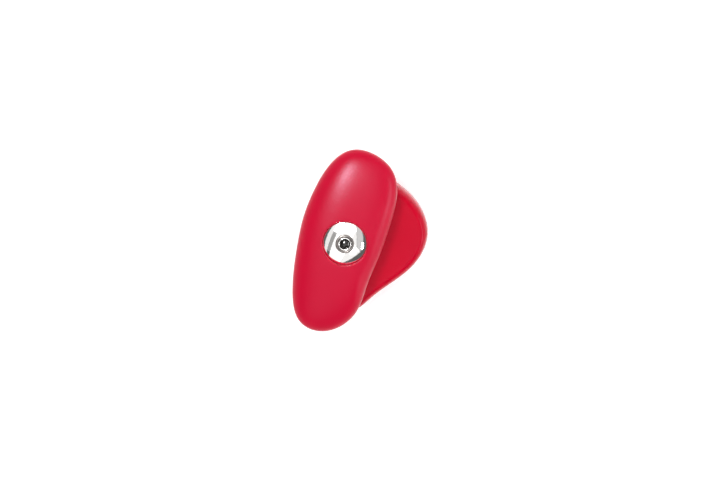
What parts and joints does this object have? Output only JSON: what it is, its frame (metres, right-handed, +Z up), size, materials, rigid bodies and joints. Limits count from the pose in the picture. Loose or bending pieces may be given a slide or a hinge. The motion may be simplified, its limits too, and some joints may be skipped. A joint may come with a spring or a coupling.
{
  "type": "manual can opener",
  "caption": "Compact twist can opener: an oval knob on a rounded body, with a feed wheel on an eccentric bush that clamps a can's rim against a side-cutting wheel.",
  "frame": {"origin": "the point where the drive shaft's axis, in the clamped position, meets the plane the opener rests on", "axes": "+Z up along the drive shaft to the knob, +X towards the nose of the body (the cutter's side), +Y along the body's long side"},
  "size_m": [0.074, 0.0986, 0.0649],
  "materials": {
    "knob_red": "fine satin texture, soft-touch",
    "body_red": "fine satin texture",
    "pad_grey": "matt, non-slip",
    "hub_steel": "polished",
    "plug_black": "glossy",
    "plate_steel": "blanked sheet, brushed",
    "shaft_steel": "turned, satin",
    "wheel_steel": "hardened and ground",
    "screw_steel": "zinc plated",
    "bush_grey": "moulded, low friction",
    "ring_black": "smooth"
  },
  "bodies": {
    "body": {"body_cover": "body_red", "body_base": "body_red", "base_pad": "pad_grey", "chassis_plate": "plate_steel", "chassis_screws": "screw_steel", "base_screws": "screw_steel", "stop_pin": "shaft_steel", "cutter_axle": "shaft_steel", "cutter_spacer": "shaft_steel"},
    "eccentric": {"eccentric_bush": "bush_grey", "friction_ring": "ring_black"},
    "knob": {"drive_shaft": "shaft_steel", "feed_wheel": "wheel_steel", "thrust_washer": "bush_grey", "nut_washer": "shaft_steel", "shaft_nut": "screw_steel", "knob_cover": "knob_red", "knob_base": "knob_red", "knob_screws": "screw_steel", "hub_cap": "hub_steel", "hub_eyelet": "hub_steel", "hub_plug": "plug_black"},
    "cutter": {"cutter_wheel": "wheel_steel"}
  },
  "joints": [
    {"name": "clamp_turn", "type": "hinge", "parent": "body", "child": "eccentric", "pos_m": [-0.0025, 0, 0], "axis": [0, 0, 1], "range_deg": [0, 120]},
    {"name": "knob_turn", "type": "hinge", "parent": "eccentric", "child": "knob", "pos_m": [0, 0, 0], "axis": [0, 0, 1], "continuous": true},
    {"name": "cutter_spin", "type": "hinge", "parent": "body", "child": "cutter", "pos_m": [0.0157, 0, 0], "axis": [0, 0, 1], "continuous": true}
  ]
}
